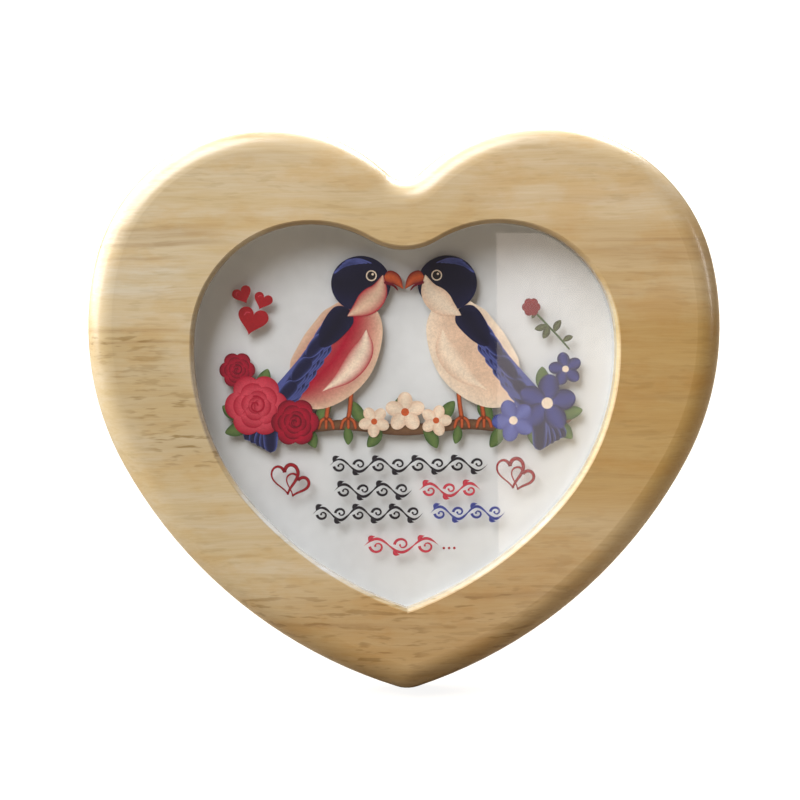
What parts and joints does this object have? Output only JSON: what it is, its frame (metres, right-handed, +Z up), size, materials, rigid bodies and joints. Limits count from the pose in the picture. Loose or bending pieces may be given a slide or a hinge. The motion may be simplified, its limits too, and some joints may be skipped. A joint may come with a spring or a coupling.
{
  "type": "photo frame",
  "caption": "Heart shaped pine photo frame with a rounded outer edge, a clear sheet over a white card, a turn-button back, an easel strut and a wall hanger.",
  "frame": {"origin": "middle of the bounding box of the standing frame, on the table", "axes": "+Z up; +X to the right seen from the front; the picture faces -Y and leans back 16 degrees; the strut stands behind at +Y"},
  "size_m": [0.203, 0.0832, 0.1767],
  "materials": {
    "pine": "clear gloss lacquer over pine with level grain",
    "clear_sheet": "clear, polished",
    "spacer_board": "matt white foam board",
    "white_card": "smooth white card, stands in for paper",
    "hardboard": "smooth brown hardboard",
    "strut_board": "smooth brown hardboard with cut edges",
    "button_brass": "brass plated, satin",
    "steel_screws": "bright zinc plated",
    "hinge_steel": "zinc plated sheet",
    "rivet_steel": "satin steel",
    "hanger_brass": "brass plated",
    "felt": "dense dark felt"
  },
  "bodies": {
    "frame": {"heart_frame": "pine", "glazing": "clear_sheet", "spacer_ring": "spacer_board", "backing_card": "white_card", "back_panel": "hardboard", "turn_button_screws": "steel_screws", "hinge_bracket": "hinge_steel", "bracket_rivets": "rivet_steel", "hinge_pin": "rivet_steel", "sawtooth_hanger": "hanger_brass", "hanger_nails": "hanger_brass", "wall_bumpers": "felt"},
    "strut": {"easel_strut": "strut_board", "strut_hinge_leaf": "hinge_steel", "strut_rivets": "rivet_steel"},
    "turn_button_lobe_left": {"turn_button_lobe_left": "button_brass"},
    "turn_button_lobe_right": {"turn_button_lobe_right": "button_brass"},
    "turn_button_hip_left": {"turn_button_hip_left": "button_brass"},
    "turn_button_hip_right": {"turn_button_hip_right": "button_brass"},
    "turn_button_side_left": {"turn_button_side_left": "button_brass"},
    "turn_button_side_right": {"turn_button_side_right": "button_brass"}
  },
  "joints": [
    {"name": "strut_fold", "type": "hinge", "parent": "frame", "child": "strut", "pos_m": [0, 0.01049, 0.11197], "axis": [-1, 0, 0], "range_deg": [0, 31]},
    {"name": "turn_button_lobe_left_turn", "type": "hinge", "parent": "frame", "child": "turn_button_lobe_left", "pos_m": [-0.04031, 0.01861, 0.1537], "axis": [0, 0.9613, -0.2756], "continuous": true},
    {"name": "turn_button_lobe_right_turn", "type": "hinge", "parent": "frame", "child": "turn_button_lobe_right", "pos_m": [0.04031, 0.01861, 0.1537], "axis": [0, 0.9613, -0.2756], "continuous": true},
    {"name": "turn_button_hip_left_turn", "type": "hinge", "parent": "frame", "child": "turn_button_hip_left", "pos_m": [-0.07779, -0.00055, 0.08688], "axis": [0, 0.9613, -0.2756], "continuous": true},
    {"name": "turn_button_hip_right_turn", "type": "hinge", "parent": "frame", "child": "turn_button_hip_right", "pos_m": [0.07779, -0.00055, 0.08688], "axis": [0, 0.9613, -0.2756], "continuous": true},
    {"name": "turn_button_side_left_turn", "type": "hinge", "parent": "frame", "child": "turn_button_side_left", "pos_m": [-0.04399, -0.01521, 0.03578], "axis": [0, 0.9613, -0.2756], "continuous": true},
    {"name": "turn_button_side_right_turn", "type": "hinge", "parent": "frame", "child": "turn_button_side_right", "pos_m": [0.04399, -0.01521, 0.03578], "axis": [0, 0.9613, -0.2756], "continuous": true}
  ]
}
